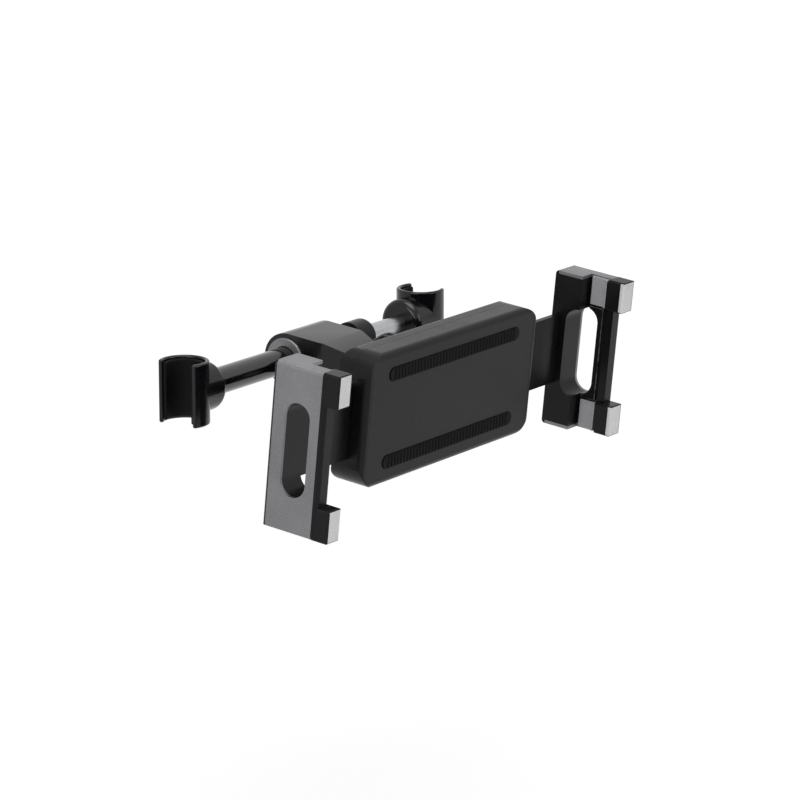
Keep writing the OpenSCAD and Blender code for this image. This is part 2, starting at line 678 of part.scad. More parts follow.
module jaw_body(rack_b) difference() {
    union() {
        difference() {
            jaw_form();
            cover_space(hold);
        }
        for (s = [-1, 1]) difference() {
            hook_form(s);
            pad_space(s, hold);
            translate([-body_in - hold, trim_b - trim_t - hold, -jaw_h]) cube([jaw_in, jaw_back, 2 * jaw_h]);
            translate([-jaw_out - 1, cover_b0 - hold, -jaw_h]) cube([jaw_out - body_out + 1 + hold, jaw_back, 2 * jaw_h]);
            translate([-jaw_out - 1, cover_b0 - hold, s > 0 ? cover_u - hold : -jaw_h]) cube([jaw_out, jaw_back, jaw_h - cover_u + hold]);
        }
    }
    jaw_slot(-jaw_out - 1, 0);
    translate([-body_in - hold, trim_b - trim_t - hold, -jaw_h]) cube([2 * hold, pad_b1 - trim_b + trim_t + 2 * hold, 2 * jaw_h]);
    translate([rack_x0 - gap / 2, rack_b - run, -rack_h / 2 - run]) cube([jaw_in, rack_t + 2 * run, rack_h + 2 * run]);
    for (j = [-1, 1]) translate([-screw_x, 0, j * screw_u]) along_y() {
        translate([0, 0, rack_b0 + gap]) cylinder(r = screw_r + run, h = jaw_back);
        translate([0, 0, jaw_back - jaw_head_t - 2 * run]) cylinder(r = jaw_head_r + 2 * run, h = 3);
    }
}

module rack_screws() for (j = [-1, 1]) translate([-screw_x, 0, j * screw_u]) along_y() difference() {
    union() {
        translate([0, 0, rack_b0 + gap + run]) cylinder(r = screw_r - run, h = jaw_back - rack_b0 - jaw_head_t);
        translate([0, 0, jaw_back - jaw_head_t - run]) cylinder(r = jaw_head_r, h = jaw_head_t);
    }
    for (a = [0, 90]) rotate([0, 0, a]) translate([0, 0, jaw_back - run])
        cube([cross_l, cross_w, 2 * cross_d], center = true);
}

module mirror_jaw() { in_cradle() mirror([1, 0, 0]) children(); }

module left_jaw_body() color(BLACK) in_cradle() jaw_body(rack_b0);
module left_jaw_cover() color(GUNMETAL) in_cradle() jaw_cover();
module left_hook_pads() color(PAD_GREY) in_cradle() hook_pads();
module left_lip_trim() color(PAD_GREY) in_cradle() lip_trim();
module left_edge_pad() color(RUBBER) in_cradle() edge_pad();
module left_rack_screws() color(STEEL) in_cradle() rack_screws();
module right_jaw_body() color(BLACK) mirror_jaw() jaw_body(rack_b1);
module right_jaw_cover() color(GUNMETAL) mirror_jaw() jaw_cover();
module right_hook_pads() color(PAD_GREY) mirror_jaw() hook_pads();
module right_lip_trim() color(PAD_GREY) mirror_jaw() lip_trim();
module right_edge_pad() color(RUBBER) mirror_jaw() edge_pad();
module right_rack_screws() color(STEEL) mirror_jaw() rack_screws();

left_clip();
left_clip_liner();
left_grub_screw();
outer_tube();
rod_guide();
bar_spring();
inner_rod();
rod_piston();
right_clip();
right_clip_liner();
right_grub_screw();
arm_body();
hub_sleeve();
left_hub_disc();
right_hub_disc();
hub_set_screw();
ball_stud();
ball_seat();
tension_ring();
lock_ring();
back_cover();
front_cover();
cover_screws();
rest_pads();
pinion();
left_spring();
right_spring();
left_rack();
left_jaw_body();
left_jaw_cover();
left_hook_pads();
left_lip_trim();
left_edge_pad();
left_rack_screws();
right_rack();
right_jaw_body();
right_jaw_cover();
right_hook_pads();
right_lip_trim();
right_edge_pad();
right_rack_screws();
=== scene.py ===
"""Headrest tablet mount: a sprung bar on two post clips, an arm with a ball joint and a two-jaw cradle."""

from __future__ import annotations
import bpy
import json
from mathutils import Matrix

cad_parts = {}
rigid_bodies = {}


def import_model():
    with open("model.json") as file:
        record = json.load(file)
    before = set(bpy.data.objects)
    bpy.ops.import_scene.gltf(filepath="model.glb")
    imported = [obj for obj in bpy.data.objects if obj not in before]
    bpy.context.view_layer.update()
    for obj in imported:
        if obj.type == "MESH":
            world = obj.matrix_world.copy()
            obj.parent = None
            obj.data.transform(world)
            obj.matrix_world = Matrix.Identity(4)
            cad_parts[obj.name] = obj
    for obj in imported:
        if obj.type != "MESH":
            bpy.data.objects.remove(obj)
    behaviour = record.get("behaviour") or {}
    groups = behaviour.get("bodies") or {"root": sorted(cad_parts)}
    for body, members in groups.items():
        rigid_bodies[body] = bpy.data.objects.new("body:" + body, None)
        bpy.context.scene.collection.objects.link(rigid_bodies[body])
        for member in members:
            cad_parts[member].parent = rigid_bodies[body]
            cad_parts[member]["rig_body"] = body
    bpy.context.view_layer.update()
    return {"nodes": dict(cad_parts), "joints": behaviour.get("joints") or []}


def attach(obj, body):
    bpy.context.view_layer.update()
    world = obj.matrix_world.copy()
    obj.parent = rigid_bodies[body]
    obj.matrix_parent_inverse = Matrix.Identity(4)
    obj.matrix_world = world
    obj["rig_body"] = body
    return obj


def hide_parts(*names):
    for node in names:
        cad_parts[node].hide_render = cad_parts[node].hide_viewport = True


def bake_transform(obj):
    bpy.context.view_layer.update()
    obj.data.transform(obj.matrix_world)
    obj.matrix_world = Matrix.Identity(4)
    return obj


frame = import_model()

import json
import logging
import math
from collections.abc import Callable, Sequence
from dataclasses import dataclass
from enum import Enum

import bmesh
import bpy
from mathutils import Matrix, Vector

LOG = logging.getLogger("tablet_mount")
MM = 0.001
ACROSS = Vector((1.0, 0.0, 0.0))
WHITE = (1.0, 1.0, 1.0, 1.0)

# Face attribute that is one on the rounding of an edge. Finishes read it to place their edge scuffs, and
# the black rubber its painted sheen.
ROUNDED = "rounded"

# Blender's names of the kinds of node that come up most.
MATH = "ShaderNodeMath"
RANGE = "ShaderNodeMapRange"
MIX = "ShaderNodeMix"
NOISE = "ShaderNodeTexNoise"
XYZ = "ShaderNodeCombineXYZ"
MOVE = "GeometryNodeTransform"
CYLINDER = "GeometryNodeMeshCylinder"
BOOLEAN = "GeometryNodeMeshBoolean"

# A Mix node holds sockets for every type of data. These are the places of the numbers and the colours.
NUMBER_A, NUMBER_B = 2, 3
COLOUR_A, COLOUR_B = 6, 7
COLOUR_RESULT = 2

# Distance in metres between the bands of a wave texture at a scale of one.
WAVE_PITCH = math.pi / 10


class Side(Enum):
    """Which end of the mount a piece belongs to, as the sign of its X."""

    LEFT = -1
    RIGHT = 1

    @property
    def word(self) -> str:
        """The word that starts the names of this side's nodes."""
        return self.name.lower()


class Face(Enum):
    """Which face of the cradle a shape looks out of, as the sign of its direction along the depth."""

    FRONT = -1
    BACK = 1


def linear(hex_colour: str) -> tuple[float, float, float, float]:
    """Turns an sRGB hex colour into Blender's linear one.

    Args:
        hex_colour: Six hex digits after a hash sign.

    Returns:
        Red, green, blue and an alpha of one.
    """
    parts = [int(hex_colour[i : i + 2], 16) / 255 for i in (1, 3, 5)]
    lit = [c / 12.92 if c <= 0.04045 else ((c + 0.055) / 1.055) ** 2.4 for c in parts]
    return (*lit, 1.0)


def blank_tree(owner: bpy.types.Material | bpy.types.World) -> bpy.types.NodeTree:
    """Gives a new material or world an empty node tree.

    Args:
        owner: The material or world.

    Returns:
        Its empty node tree.
    """
    owner.use_nodes = True
    owner.node_tree.nodes.clear()
    return owner.node_tree


def add_node(
    tree: bpy.types.NodeTree, kind: str, inputs: dict[str | int, object] | None = None, **settings: object
) -> bpy.types.Node:
    """Adds one node with its settings, its input values and its incoming links.

    Args:
        tree: The node tree that takes the node.
        kind: Blender's identifier of the node type.
        inputs: Input name or index to a plain value, or to what is linked to it: an output socket, a node,
            which stands for its first output, or a list of these.
        settings: Attributes of the node itself.

    Returns:
        The new node.
    """
    node = tree.nodes.new(kind)
    for name, value in settings.items():
        setattr(node, name, value)
    for key, value in (inputs or {}).items():
        sources = value if isinstance(value, list) else [value]
        for source in sources:
            if isinstance(source, bpy.types.Node):
                source = source.outputs[0]
            if isinstance(source, bpy.types.NodeSocket):
                tree.links.new(source, node.inputs[key])
            else:
                node.inputs[key].default_value = source
    return node


@dataclass(frozen=True)
class Finish:
    """A real material with the way its surface was made.

    Sizes are in millimetres. A span is the part of a noise's output that is stretched to the full range.

    Attributes:
        name: Name of the material.
        slot: Its material slot in the record. Not used.
        colour: Its colour, as sRGB hex.
        fleck: The second colour that clouds and specks mix in.
        roughness: Mean roughness.
        metallic: One for bare metal, a little less under an anodised layer.
        ior: Index of refraction, unused by pure metals.
        specular: Strength of the reflection of a plastic.
        coat: Weight of a clear coat.
        coat_roughness: Roughness of that coat.
        anisotropy: Stretch of highlights across the marks of a tool.
        grain: Size of the finest specks and of the moulded grain.
        depth: Depth of the surface relief.
        cloud: Size of the slow clouds in colour and roughness.
        uneven: How far the clouds move the roughness either way.
        wear: Most that a rounded edge takes of the edge colour: scuffs on most finishes, a painted sheen on
            the black rubber.
        worn: Colour of a scuffed edge; on the black rubber, the colour of its painted sheen.
        patch: Size of the patches of scuffs and painted sheen.
        turned: Distance between the rings of a lathe tool, or zero for moulded grain.
        smoothest: Least roughness that the clouds may leave.
        speck_share: Share of the specks beside the clouds.
        cloud_span: Span of the clouds that moves the roughness.
        tint_span: Span of clouds and specks that mixes the colours.
        patch_span: Span of the patches that tints the edges.
        cloud_detail: Octaves of the clouds.
        speck_detail: Octaves of the specks.
        patch_detail: Octaves of the patches.
        relief_detail: Octaves of the moulded grain.
        relief_roughness: Strength of its finer octaves.
        ring_detail: Octaves of the noise that bends the tool rings.
        ring_wobble: How far it bends them.
    """

    name: str
    slot: str
    colour: str
    fleck: str
    roughness: float
    metallic: float = 0.0
    ior: float = 1.5
    specular: float = 0.5
    coat: float = 0.0
    coat_roughness: float = 0.08
    anisotropy: float = 0.0
    grain: float = 0.5
    depth: float = 0.01
    cloud: float = 18.0
    uneven: float = 0.05
    wear: float = 0.0
    worn: str = "#9a9a9c"
    patch: float = 2.5
    turned: float = 0.0
    smoothest: float = 0.02
    speck_share: float = 0.6
    cloud_span: tuple[float, float] = (0.3, 0.7)
    tint_span: tuple[float, float] = (0.36, 0.64)
    patch_span: tuple[float, float] = (0.35, 0.65)
    cloud_detail: float = 3.0
    speck_detail: float = 2.0
    patch_detail: float = 4.0
    relief_detail: float = 4.0
    relief_roughness: float = 0.6
    ring_detail: float = 2.0
    ring_wobble: float = 0.6

    def material(self) -> bpy.types.Material:
        """Builds the node material, or returns it if it is there already.

        Returns:
            The material with this finish's name.
        """
        found = bpy.data.materials.get(self.name)
        if found:
            return found
        made = bpy.data.materials.new(self.name)
        tree = blank_tree(made)
        place = add_node(tree, "ShaderNodeTexCoord").outputs["Object"]
        slow = {"Vector": place, "Scale": 1 / (self.cloud * MM), "Detail": self.cloud_detail}
        clouds = add_node(tree, NOISE, slow).outputs["Fac"]
        low, high = self.cloud_span
        spread = {
            "Value": clouds,
            "From Min": low,
            "From Max": high,
            "To Min": max(self.smoothest, self.roughness - self.uneven),
            "To Max": self.roughness + self.uneven,
        }
        surface = {
            "Base Color": self.worn_edges(tree, place, self.tinted(tree, place, clouds)),
            "Roughness": add_node(tree, RANGE, spread),
            "Normal": self.relief(tree, place),
            "Metallic": self.metallic,
            "Coat Weight": self.coat,
            "Coat Roughness": self.coat_roughness,
            "Specular IOR Level": self.specular,
            "Anisotropic": self.anisotropy,
        }
        if self.metallic < 1:
            surface["IOR"] = self.ior
        shader = add_node(tree, "ShaderNodeBsdfPrincipled", surface)
        add_node(tree, "ShaderNodeOutputMaterial", {"Surface": shader})
        return made

    def tinted(
        self, tree: bpy.types.NodeTree, place: bpy.types.NodeSocket, clouds: bpy.types.NodeSocket
    ) -> bpy.types.NodeSocket:
        """Mixes the colour and its fleck by the slow clouds and the fine specks of the surface.

        Args:
            tree: The material's nodes.
            place: Object coordinates.
            clouds: Output of the slow noise.

        Returns:
            The mixed colour.
        """
        fine = {"Vector": place, "Scale": 1 / (self.grain * MM), "Detail": self.speck_detail}
        specks = add_node(tree, NOISE, fine).outputs["Fac"]
        both = add_node(tree, MIX, {"Factor": self.speck_share, NUMBER_A: clouds, NUMBER_B: specks})
        low, high = self.tint_span
        clear = add_node(tree, RANGE, {"Value": both, "From Min": low, "From Max": high})
        mix = {"Factor": clear, COLOUR_A: linear(self.colour), COLOUR_B: linear(self.fleck)}
        return add_node(tree, MIX, mix, data_type="RGBA").outputs[COLOUR_RESULT]

    def worn_edges(
        self, tree: bpy.types.NodeTree, place: bpy.types.NodeSocket, colour: bpy.types.NodeSocket
    ) -> bpy.types.NodeSocket:
        """Lightens rounded edges a little, in patches: scuffs from hands and cloth, and on the black rubber
        a painted sheen.

        Args:
            tree: The material's nodes.
            place: Object coordinates.
            colour: The colour away from the edges.

        Returns:
            The colour with its tinted edges.
        """
        if not self.wear:
            return colour
        # on the black rubber this edge tint is a painted sheen, on the other finishes scuffs
        edge = add_node(tree, "ShaderNodeAttribute", attribute_name=ROUNDED).outputs["Fac"]
        patchy = {"Vector": place, "Scale": 1 / (self.patch * MM), "Detail": self.patch_detail}
        patches = add_node(tree, NOISE, patchy).outputs["Fac"]
        low, high = self.patch_span
        amount = {"Value": patches, "From Min": low, "From Max": high, "To Max": self.wear}
        share = add_node(tree, MATH, {0: edge, 1: add_node(tree, RANGE, amount)}, operation="MULTIPLY")
        mix = {"Factor": share, COLOUR_A: colour, COLOUR_B: linear(self.worn)}
        return add_node(tree, MIX, mix, data_type="RGBA").outputs[COLOUR_RESULT]

    def relief(self, tree: bpy.types.NodeTree, place: bpy.types.NodeSocket) -> bpy.types.Node:
        """Raises the fine surface relief, either moulded grain or the rings of a lathe tool.

        Args:
            tree: The material's nodes.
            place: Object coordinates.

        Returns:
            The node with the bent normal.
        """
        if self.turned:
            rings = {
                "Vector": place,
                "Scale": WAVE_PITCH / (self.turned * MM),
                "Distortion": self.ring_wobble,
                "Detail": self.ring_detail,
            }
            height = add_node(tree, "ShaderNodeTexWave", rings, wave_type="BANDS", bands_direction="X")
        else:
            grain = {
                "Vector": place,
                "Scale": 1 / (self.grain * MM),
                "Detail": self.relief_detail,
                "Roughness": self.relief_roughness,
            }
            height = add_node(tree, NOISE, grain)
        bent = {"Height": height.outputs["Fac"], "Distance": self.depth * MM}
        return add_node(tree, "ShaderNodeBump", bent)


# Injection moulded ABS from a polished tool: piano black, with a soft-edged gloss.
GLOSS_ABS = Finish(
    name="gloss_abs",
    slot="clip_gloss",
    colour="#08080a",
    fleck="#0d0d0f",
    roughness=0.17,
    specular=0.3,
    grain=1.6,
    depth=0.003,
    wear=0.5,
    worn="#2a2a2c",
)

# Gloss enamel over drawn steel: black, almost a mirror, with faint orange peel.
ENAMEL = Finish(
    name="gloss_enamel",
    slot="tube_gloss",
    colour="#09090a",
    fleck="#0d0d0e",
    roughness=0.12,
    coat=0.4,
    specular=0.34,
    grain=2.2,
    depth=0.003,
)

# Injection moulded ABS from a spark eroded tool: black with a satin grain, drawn coarse enough to show.
SATIN_ABS = Finish(
    name="satin_abs",
    slot="black_plastic",
    colour="#0a0a0b",
    fleck="#131314",
    roughness=0.31,
    specular=0.15,
    grain=0.6,
    depth=0.035,
    wear=0.5,
    worn="#29292b",
)

# Moulded silicone rubber: dull and nearly black, with a painted grey sheen along its rounded edges.
BLACK_RUBBER = Finish(
    name="black_rubber",
    slot="rubber",
    colour="#060606",
    fleck="#0c0c0c",
    roughness=0.66,
    ior=1.42,
    specular=0.13,
    grain=0.5,
    depth=0.03,
    # the grey tint on the rounded edges is a painted sheen
    wear=0.8,
    worn="#606062",
)

# Bead blasted and anodised aluminium: mid grey with a fine matt sparkle, brighter on rubbed edges.
# The beads leave dents of about 0.1 mm, which are drawn four times as coarse, so that they show.
ANODISED = Finish(
    name="anodised_aluminium",
    slot="gunmetal",
    colour="#7f7f81",
    fleck="#6d6d6f",
    roughness=0.42,
    metallic=0.9,
    grain=0.4,
    depth=0.02,
    wear=0.7,
    worn="#adadaf",
)

# Turned and zinc plated steel: bright, with fine tool rings along the axis.
TURNED_STEEL = Finish(
    name="turned_steel",
    slot="steel",
    colour="#b4b5b7",
    fleck="#a5a6a9",
    roughness=0.24,
    metallic=1.0,
    anisotropy=0.4,
    turned=0.4,
    depth=0.003,
)

# Natural nylon, moulded: milky and a little waxy.
NYLON = Finish(
    name="natural_nylon",
    slot="nylon",
    colour="#d9d6c8",
    fleck="#cfccbd",
    roughness=0.5,
    ior=1.53,
    grain=0.8,
    depth=0.006,
)

# Light grey thermoplastic rubber: matt, soft to the touch.
SOFT_GREY = Finish(
    name="soft_grey_rubber",
    slot="pad_grey",
    colour="#c0c0c1",
    fleck="#b2b2b3",
    roughness=0.68,
    ior=1.46,
    grain=0.5,
    depth=0.03,
)

# The same rubber in a darker grey, polished a little by what slides in behind the hooks.
LIP_GREY = Finish(
    name="lip_grey_rubber",
    slot="lip_grey",
    colour="#929294",
    fleck="#7d7d7f",
    roughness=0.55,
    ior=1.46,
    grain=0.5,
    depth=0.02,
)


@dataclass(frozen=True)
class CradleFrame:
    """The cradle's own axes in the row frame: x along its width, b back towards the seat, u up it.

    Attributes:
        reach: How far the bar's axis lies behind the plane where b is zero, in millimetres.
        drop: How far it lies above the cradle's middle.
    """

    reach: float = 70.5
    drop: float = 0.6

    @property
    def matrix(self) -> Matrix:
        """Finds where the cradle is from the frame's own joints.

        Returns:
            The matrix that takes cradle millimetres to row metres.
        """
        joints = {joint["name"]: joint for joint in frame["joints"]}
        back = Vector(joints["ball_spin"]["axis"]).normalized()
        turn = Matrix((ACROSS, back, ACROSS.cross(back))).transposed()
        hub = Vector(joints["arm_swing"]["pos_m"])
        origin = hub + turn @ Vector((0.0, -self.reach, -self.drop)) * MM
        return Matrix.Translation(origin) @ turn.to_4x4() @ Matrix.Scale(MM, 4)

    def turned(self, face: Face) -> Matrix:
        """Turns a shape so that its Z looks out of a face of the cradle.

        Args:
            face: The face.

        Returns:
            The rotation, which keeps X along the cradle.
        """
        out = self.matrix.to_3x3().normalized().col[1] * face.value
        return Matrix((ACROSS, out.cross(ACROSS), out)).transposed()


def place_piece(mesh: bpy.types.Mesh, finish: Finish, node: str, rides: bool = True) -> bpy.types.Object:
    """Puts a finished mesh into the scene in the place of a node.

    Args:
        mesh: The mesh, in row metres.
        finish: Its material.
        node: The frame node that it stands for.
        rides: Whether it moves with the node's body, as all do that stay rigid.

    Returns:
        The new object.
    """
    mesh.name = node + "_piece"
    mesh.materials.clear()
    mesh.materials.append(finish.material())
    piece = bpy.data.objects.new(mesh.name, mesh)
    bpy.context.scene.collection.objects.link(piece)
    if rides:
        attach(piece, frame["nodes"][node]["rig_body"])
    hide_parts(node)
    return piece


def baked(mesh: bpy.types.Mesh, dress: Callable[[bpy.types.Object], None]) -> bpy.types.Mesh:
    """Runs modifiers over a mesh and returns the result as a plain mesh.

    Args:
        mesh: The mesh to start from, which is used up.
        dress: Adds the modifiers to a passing object that holds the mesh.

    Returns:
        The evaluated mesh, free of modifiers.
    """
    passing = bpy.data.objects.new("passing", mesh)
    bpy.context.scene.collection.objects.link(passing)
    dress(passing)
    bpy.context.view_layer.update()
    graph = bpy.context.evaluated_depsgraph_get()
    result = bpy.data.meshes.new_from_object(passing.evaluated_get(graph), depsgraph=graph)
    bpy.data.objects.remove(passing)
    bpy.data.meshes.remove(mesh)
    return result


def mark_rounding(mesh: bpy.types.Mesh) -> None:
    """Turns the material numbers that a bevel left on the faces into the attribute that finishes read.

    Args:
        mesh: The rounded mesh, whose faces all get the first material.
    """
    marks = mesh.attributes.new(ROUNDED, "FLOAT", "FACE")
    marks.data.foreach_set("value", [float(face.material_index) for face in mesh.polygons])
    mesh.polygons.foreach_set("material_index", [0] * len(mesh.polygons))


@dataclass(frozen=True)
class RoundedPiece:
    """A solid of the frame, remade with rounded edges and smooth curved faces.

    Attributes:
        node: Name of the frame node.
        finish: Its material.
        edge: Width of the edge rounding in millimetres, or zero for none.
        segments: Steps in that rounding.
        sharpest: Edges that turn more than this many degrees are rounded.
        crease: Edges that still turn more than this many degrees are shaded sharp.
        flat: Faces that turn less than this many degrees are joined into one.
        weld: Points closer than this in millimetres are one.
    """

    node: str
    finish: Finish
    edge: float = 0.25
    segments: int = 3
    sharpest: float = 32.0
    crease: float = 40.0
    flat: float = 0.6
    weld: float = 0.002

    def build(self) -> bpy.types.Object:
        """Makes the piece in the place of its node."""
        return place_piece(self.mesh(), self.finish, self.node)

    def mesh(self) -> bpy.types.Mesh:
        """Remakes the node's mesh with its roundings and normals.

        Returns:
            A plain closed mesh in row metres.
        """
        form = bmesh.new()
        form.from_mesh(frame["nodes"][self.node].data)
        bmesh.ops.remove_doubles(form, verts=form.verts, dist=self.weld * MM)
        bmesh.ops.dissolve_limit(
            form,
            angle_limit=math.radians(self.flat),
            verts=form.verts,
            edges=form.edges,
            use_dissolve_boundaries=False,
        )
        for face in form.faces:
            face.smooth = True
        bmesh.ops.recalc_face_normals(form, faces=form.faces)
        mesh = bpy.data.meshes.new(self.node + "_form")
        form.to_mesh(mesh)
        form.free()
        # Two empty slots: the bevel gives its own faces the second one.
        mesh.materials.append(None)
        mesh.materials.append(None)
        rounded = baked(mesh, self.round_edges) if self.edge else mesh
        mark_rounding(rounded)
        rounded.set_sharp_from_angle(angle=math.radians(self.crease))
        return baked(rounded, self.flatten_faces)

    def round_edges(self, passing: bpy.types.Object) -> None:
        """Adds the edge rounding.

        Args:
            passing: The object that holds the mesh.
        """
        bevel = passing.modifiers.new("edges", "BEVEL")
        bevel.width = self.edge * MM
        bevel.segments = self.segments
        bevel.limit_method = "ANGLE"
        bevel.angle_limit = math.radians(self.sharpest)
        bevel.miter_outer = "MITER_ARC"
        bevel.use_clamp_overlap = True
        bevel.material = 1

    def flatten_faces(self, passing: bpy.types.Object) -> None:
        """Adds the normals that keep broad faces flat beside a rounding.

        Args:
            passing: The object that holds the mesh.
        """
        weigh = passing.modifiers.new("normals", "WEIGHTED_NORMAL")
        weigh.keep_sharp = True
        weigh.weight = 100  # a corner follows its largest face


@dataclass(frozen=True)
class NodeShape:
    """A shape that a geometry nodes tree draws in millimetres and repeats on given places.

    A subclass holds its sizes as fields, which are the inputs of its tree too, and draws the shape.
    """

    def sizes(self) -> dict[str, float]:
        """Gives each field under its input's name, such as Head Radius for head_radius."""
        return {name.replace("_", " ").title(): value for name, value in vars(self).items()}

    def draw(self, tree: bpy.types.NodeTree, size: bpy.types.NodeOutputs) -> bpy.types.Node:
        """Draws one shape, in a subclass's own way."""
        raise NotImplementedError

    def rule(self) -> bpy.types.NodeTree:
        """Builds the tree, or returns it if it is there already.

        Returns:
            A tree that ends in real geometry with its finish.
        """
        name = type(self).__name__
        found = bpy.data.node_groups.get(name)
        if found:
            return found
        tree = bpy.data.node_groups.new(name, "GeometryNodeTree")
        inputs = {"Places": "Geometry", "Turn": "Vector", "Finish": "Material"}
        inputs.update(dict.fromkeys(self.sizes(), "Float"))
        for socket, kind in inputs.items():
            tree.interface.new_socket(socket, in_out="INPUT", socket_type="NodeSocket" + kind)
        tree.interface.new_socket("Result", in_out="OUTPUT", socket_type="NodeSocketGeometry")
        given = add_node(tree, "NodeGroupInput").outputs
        repeat = {
            "Points": given["Places"],
            "Instance": self.draw(tree, given),
            "Rotation": given["Turn"],
            "Scale": (MM, MM, MM),
        }
        spread = add_node(tree, "GeometryNodeInstanceOnPoints", repeat)
        solid = add_node(tree, "GeometryNodeRealizeInstances", {0: spread})
        smooth = add_node(tree, "GeometryNodeSetShadeSmooth", {0: solid})
        painted = add_node(tree, "GeometryNodeSetMaterial", {0: smooth, "Material": given["Finish"]})
        add_node(tree, "NodeGroupOutput", {0: painted})
        return tree

    def repeated(
        self,
        node: str,
        finish: Finish,
        face: Face,
        places: Sequence[tuple[float, float, float]],
        crease: float = 30.0,
    ) -> bpy.types.Object:
        """Draws the shape on its places and puts the result in the place of a node.

        Args:
            node: The frame's node of the same pieces.
            finish: Their material.
            face: The face of the cradle that they look out of.
            places: Where they go, in the cradle's own millimetres.
            crease: Edges that turn more than this many degrees are shaded sharp.

        Returns:
            The piece, one plain mesh with all the shapes.
        """
        tree = self.rule()
        cradle = CradleFrame()
        turn = cradle.turned(face).to_euler()
        values = {"Turn": tuple(turn), "Finish": finish.material(), **self.sizes()}

        def run(passing: bpy.types.Object) -> None:
            """Adds the tree to an object and sets its inputs.

            Args:
                passing: The object that holds the places as loose points.
            """
            rule = passing.modifiers.new("rule", "NODES")
            rule.node_group = tree
            for item in tree.interface.items_tree:
                if item.in_out == "INPUT" and item.name in values:
                    rule[item.identifier] = values[item.name]

        dots = bpy.data.meshes.new("places")
        dots.from_pydata([tuple(cradle.matrix @ Vector(place)) for place in places], [], [])
        mesh = baked(dots, run)
        mesh.set_sharp_from_angle(angle=math.radians(crease))
        return place_piece(mesh, finish, node)


@dataclass(frozen=True)
class CrossScrew(NodeShape):
    """A pan head screw with a cross recess, in millimetres. It points down Z from the top of its head.

    Attributes:
        head_radius: Radius of the head.
        tip_end: Depth of the screw's end under the top of its head.
        head_height: Height of the head.
        crown_radius: Radius of the ball that domes the head.
        shank_radius: Radius of the shank.
        shank_end: Depth where the shank ends and the tip goes on.
        tip_radius: Radius of the tip.
        wing_length: Length of each bar of the cross at the surface.
        wing_width: Width of each bar there.
        recess_depth: Depth of the cross.
    """

    head_radius: float
    tip_end: float
    head_height: float = 1.25
    crown_radius: float = 3.4
    shank_radius: float = 1.05
    shank_end: float = 4.5
    tip_radius: float = 0.85
    wing_length: float = 2.9
    wing_width: float = 0.8
    recess_depth: float = 0.8

    def draw(self, tree: bpy.types.NodeTree, size: bpy.types.NodeOutputs) -> bpy.types.Node:
        """Draws a domed head with a cross cut into it, on a shank and a narrower tip.

        Args:
            tree: The tree that takes the nodes.
            size: Its size inputs.

        Returns:
            The node with the screw.
        """
        above = -0.5  # the head's blank starts above the dome that trims it
        blank = self.rod(tree, size["Head Radius"], above, size["Head Height"])
        domed = {1: [blank, self.crown(tree, size)]}
        head = add_node(tree, BOOLEAN, domed, operation="INTERSECT", solver="MANIFOLD")
        crossed = {0: head, 1: self.recess(tree, size)}
        cut = add_node(tree, BOOLEAN, crossed, operation="DIFFERENCE", solver="MANIFOLD")
        inside = add_node(tree, MATH, {0: size["Head Height"], 1: 0.5}, operation="MULTIPLY")
        shank = self.rod(tree, size["Shank Radius"], inside, size["Shank End"])
        tip = self.rod(tree, size["Tip Radius"], size["Head Height"], size["Tip End"])
        return add_node(tree, BOOLEAN, {1: [cut, shank, tip]}, operation="UNION", solver="MANIFOLD")

    @staticmethod
    def rod(
        tree: bpy.types.NodeTree,
        radius: bpy.types.NodeSocket,
        start: bpy.types.NodeSocket | bpy.types.Node | float,
        end: bpy.types.NodeSocket,
        sides: int = 48,
    ) -> bpy.types.Node:
        """Draws a round bar from one depth to another.

        Args:
            tree: The tree that takes the nodes.
            radius: Its radius.
            start: Depth of its upper end.
            end: Depth of its lower end.
            sides: Faces round it.

        Returns:
            The node with the bar.
        """
        length = add_node(tree, MATH, {0: end, 1: start}, operation="SUBTRACT")
        both = add_node(tree, MATH, {0: end, 1: start}, operation="ADD")
        middle = add_node(tree, MATH, {0: both, 1: -0.5}, operation="MULTIPLY")
        bar = add_node(tree, CYLINDER, {"Vertices": sides, "Radius": radius, "Depth": length})
        return add_node(tree, MOVE, {0: bar, "Translation": add_node(tree, XYZ, {"Z": middle})})

    @staticmethod
    def crown(tree: bpy.types.NodeTree, size: bpy.types.NodeOutputs, steps: int = 64) -> bpy.types.Node:
        """Draws the ball whose top is the dome of the head.

        Args:
            tree: The tree that takes the nodes.
            size: Its size inputs.
            steps: Faces round the ball and from pole to pole.

        Returns:
            The node with the ball, whose top is at zero.
        """
        round_form = {"Segments": steps, "Rings": steps, "Radius": size["Crown Radius"]}
        ball = add_node(tree, "GeometryNodeMeshUVSphere", round_form)
        sunk = add_node(tree, MATH, {0: size["Crown Radius"], 1: -1.0}, operation="MULTIPLY")
        return add_node(tree, MOVE, {0: ball, "Translation": add_node(tree, XYZ, {"Z": sunk})})

    @staticmethod
    def recess(tree: bpy.types.NodeTree, size: bpy.types.NodeOutputs) -> list[bpy.types.Node]:
        """Draws the two bars of the cross, each a block that narrows to half at its foot.

        Args:
            tree: The tree that takes the nodes.
            size: Its size inputs.

        Returns:
            The nodes with the two bars, which stick out of the head as far as they go in.
        """
        corner = math.sqrt(0.5)  # radius of a cone of four sides that are one wide
        tapered = {"Vertices": 4, "Radius Top": corner, "Radius Bottom": 0.5 * corner, "Depth": 1.0}
        cone = add_node(tree, "GeometryNodeMeshCone", tapered)
        centred = {0: cone, "Rotation": (0.0, 0.0, math.pi / 4), "Translation": (0.0, 0.0, -0.5)}
        block = add_node(tree, MOVE, centred)
        deep = add_node(tree, MATH, {0: size["Recess Depth"], 1: 2.0}, operation="MULTIPLY")
        scale = add_node(tree, XYZ, {"X": size["Wing Length"], "Y": size["Wing Width"], "Z": deep})
        wing = add_node(tree, MOVE, {0: block, "Scale": scale})
        return [wing, add_node(tree, MOVE, {0: wing, "Rotation": (0.0, 0.0, math.pi / 2)})]


